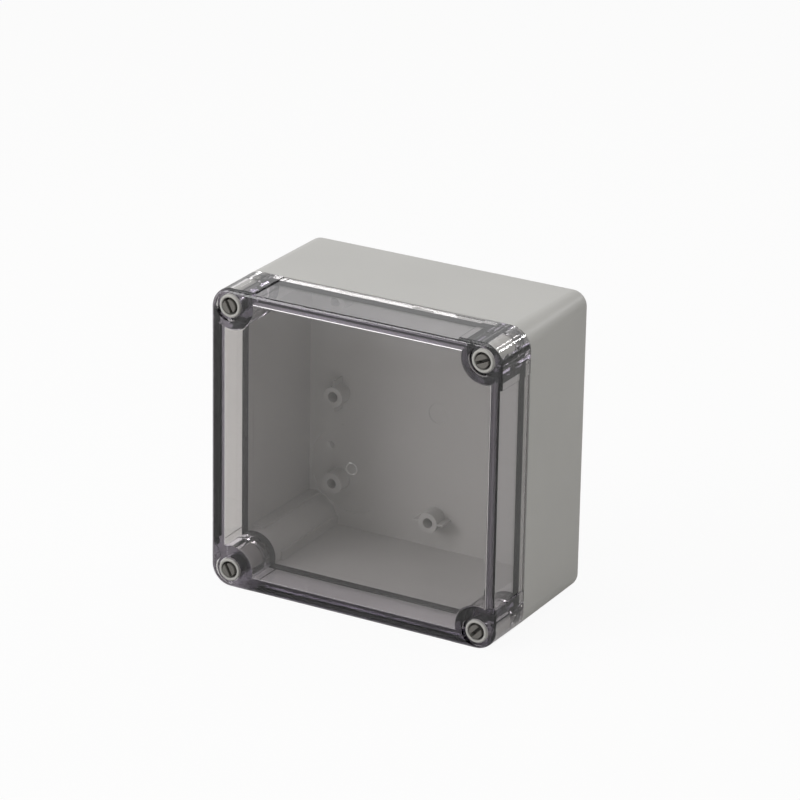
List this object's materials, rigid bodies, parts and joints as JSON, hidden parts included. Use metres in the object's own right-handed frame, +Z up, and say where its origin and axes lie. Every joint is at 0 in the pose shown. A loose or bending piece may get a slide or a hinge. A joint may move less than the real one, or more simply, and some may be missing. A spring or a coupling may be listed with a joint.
{
  "type": "clear cover wall enclosure",
  "caption": "Small sealed plastic box for circuit modules: grey drafted base, clear smoky lift-off cover, rubber seal and captive slotted corner screws.",
  "frame": {"origin": "middle of the bottom side, halfway between the cover's face and the back", "axes": "+Z up, +X to the right of someone facing the cover, +Y from the cover towards the back"},
  "size_m": [0.122, 0.0706, 0.1196],
  "materials": {
    "grey_shell": "fine matte texture",
    "clear_shell": "clear, lightly smoked, polished",
    "seal_rubber": "soft satin",
    "screw_plastic": "satin"
  },
  "bodies": {
    "base": {"enclosure_base": "grey_shell"},
    "cover": {"clear_cover": "clear_shell", "seal_gasket": "seal_rubber"},
    "ring_upper_left": {"retaining_ring_upper_left": "seal_rubber"},
    "screw_upper_left": {"cover_screw_upper_left": "screw_plastic"},
    "ring_upper_right": {"retaining_ring_upper_right": "seal_rubber"},
    "screw_upper_right": {"cover_screw_upper_right": "screw_plastic"},
    "ring_lower_left": {"retaining_ring_lower_left": "seal_rubber"},
    "screw_lower_left": {"cover_screw_lower_left": "screw_plastic"},
    "ring_lower_right": {"retaining_ring_lower_right": "seal_rubber"},
    "screw_lower_right": {"cover_screw_lower_right": "screw_plastic"}
  },
  "joints": [
    {"name": "cover_lift", "type": "slide", "parent": "base", "child": "cover", "axis": [0, -1, 0], "range_m": [0, 0.045]},
    {"name": "screw_out_upper_left", "type": "slide", "parent": "cover", "child": "ring_upper_left", "axis": [0, -1, 0], "range_m": [0, 0.005]},
    {"name": "screw_turn_upper_left", "type": "hinge", "parent": "ring_upper_left", "child": "screw_upper_left", "pos_m": [-0.053, -0.02, 0.1126], "axis": [0, -1, 0], "range_deg": [0, 900]},
    {"name": "screw_out_upper_right", "type": "slide", "parent": "cover", "child": "ring_upper_right", "axis": [0, -1, 0], "range_m": [0, 0.005]},
    {"name": "screw_turn_upper_right", "type": "hinge", "parent": "ring_upper_right", "child": "screw_upper_right", "pos_m": [0.053, -0.02, 0.1126], "axis": [0, -1, 0], "range_deg": [0, 900]},
    {"name": "screw_out_lower_left", "type": "slide", "parent": "cover", "child": "ring_lower_left", "axis": [0, -1, 0], "range_m": [0, 0.005]},
    {"name": "screw_turn_lower_left", "type": "hinge", "parent": "ring_lower_left", "child": "screw_lower_left", "pos_m": [-0.053, -0.02, 0.007], "axis": [0, -1, 0], "range_deg": [0, 900]},
    {"name": "screw_out_lower_right", "type": "slide", "parent": "cover", "child": "ring_lower_right", "axis": [0, -1, 0], "range_m": [0, 0.005]},
    {"name": "screw_turn_lower_right", "type": "hinge", "parent": "ring_lower_right", "child": "screw_lower_right", "pos_m": [0.053, -0.02, 0.007], "axis": [0, -1, 0], "range_deg": [0, 900]}
  ],
  "couplings": [
    {"joint": "screw_turn_upper_left", "follows": "screw_out_upper_left", "rad_per_m": 3141.6},
    {"joint": "screw_turn_upper_right", "follows": "screw_out_upper_right", "rad_per_m": 3141.6},
    {"joint": "screw_turn_lower_left", "follows": "screw_out_lower_left", "rad_per_m": 3141.6},
    {"joint": "screw_turn_lower_right", "follows": "screw_out_lower_right", "rad_per_m": 3141.6}
  ]
}
